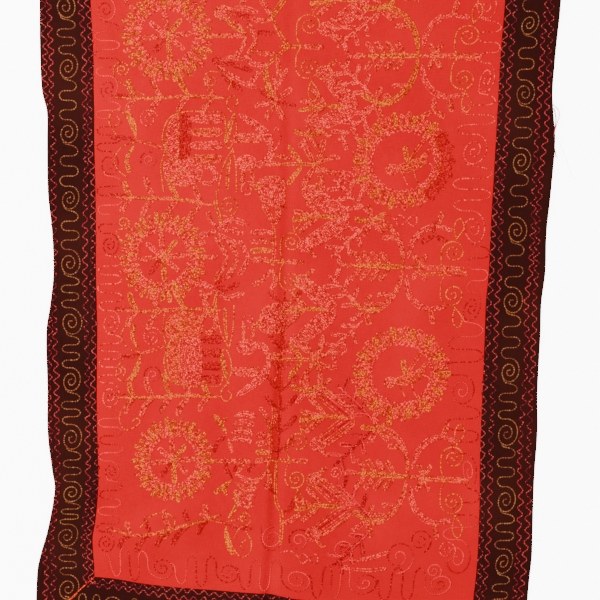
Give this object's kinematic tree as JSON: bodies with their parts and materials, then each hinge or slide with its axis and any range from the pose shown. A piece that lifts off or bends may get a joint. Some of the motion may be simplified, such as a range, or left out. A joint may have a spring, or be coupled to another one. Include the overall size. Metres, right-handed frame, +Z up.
{
  "type": "embroidered tablecloth",
  "caption": "Rectangular red tablecloth with a dark mitred border, covered in chain-stitch figures, lying flat with a middle crease and buckled edges.",
  "frame": {"origin": "on the surface under the cloth, at the middle of its outline", "axes": "+Z up out of the cloth's face, +Y along its length towards the far hem, +X across it to the right as seen from the near hem"},
  "size_m": [0.9206, 1.372, 0.0134],
  "materials": {
    "red_cloth": "plain-woven red cotton with a soft sheen, worked all over in chain stitch",
    "dark_cloth": "plain-woven dark maroon-brown cotton, worked in chain stitch"
  },
  "bodies": {
    "root": {"centre_panel": "red_cloth", "border_left": "dark_cloth", "border_right": "dark_cloth", "border_near": "dark_cloth", "border_far": "dark_cloth"}
  },
  "joints": []
}
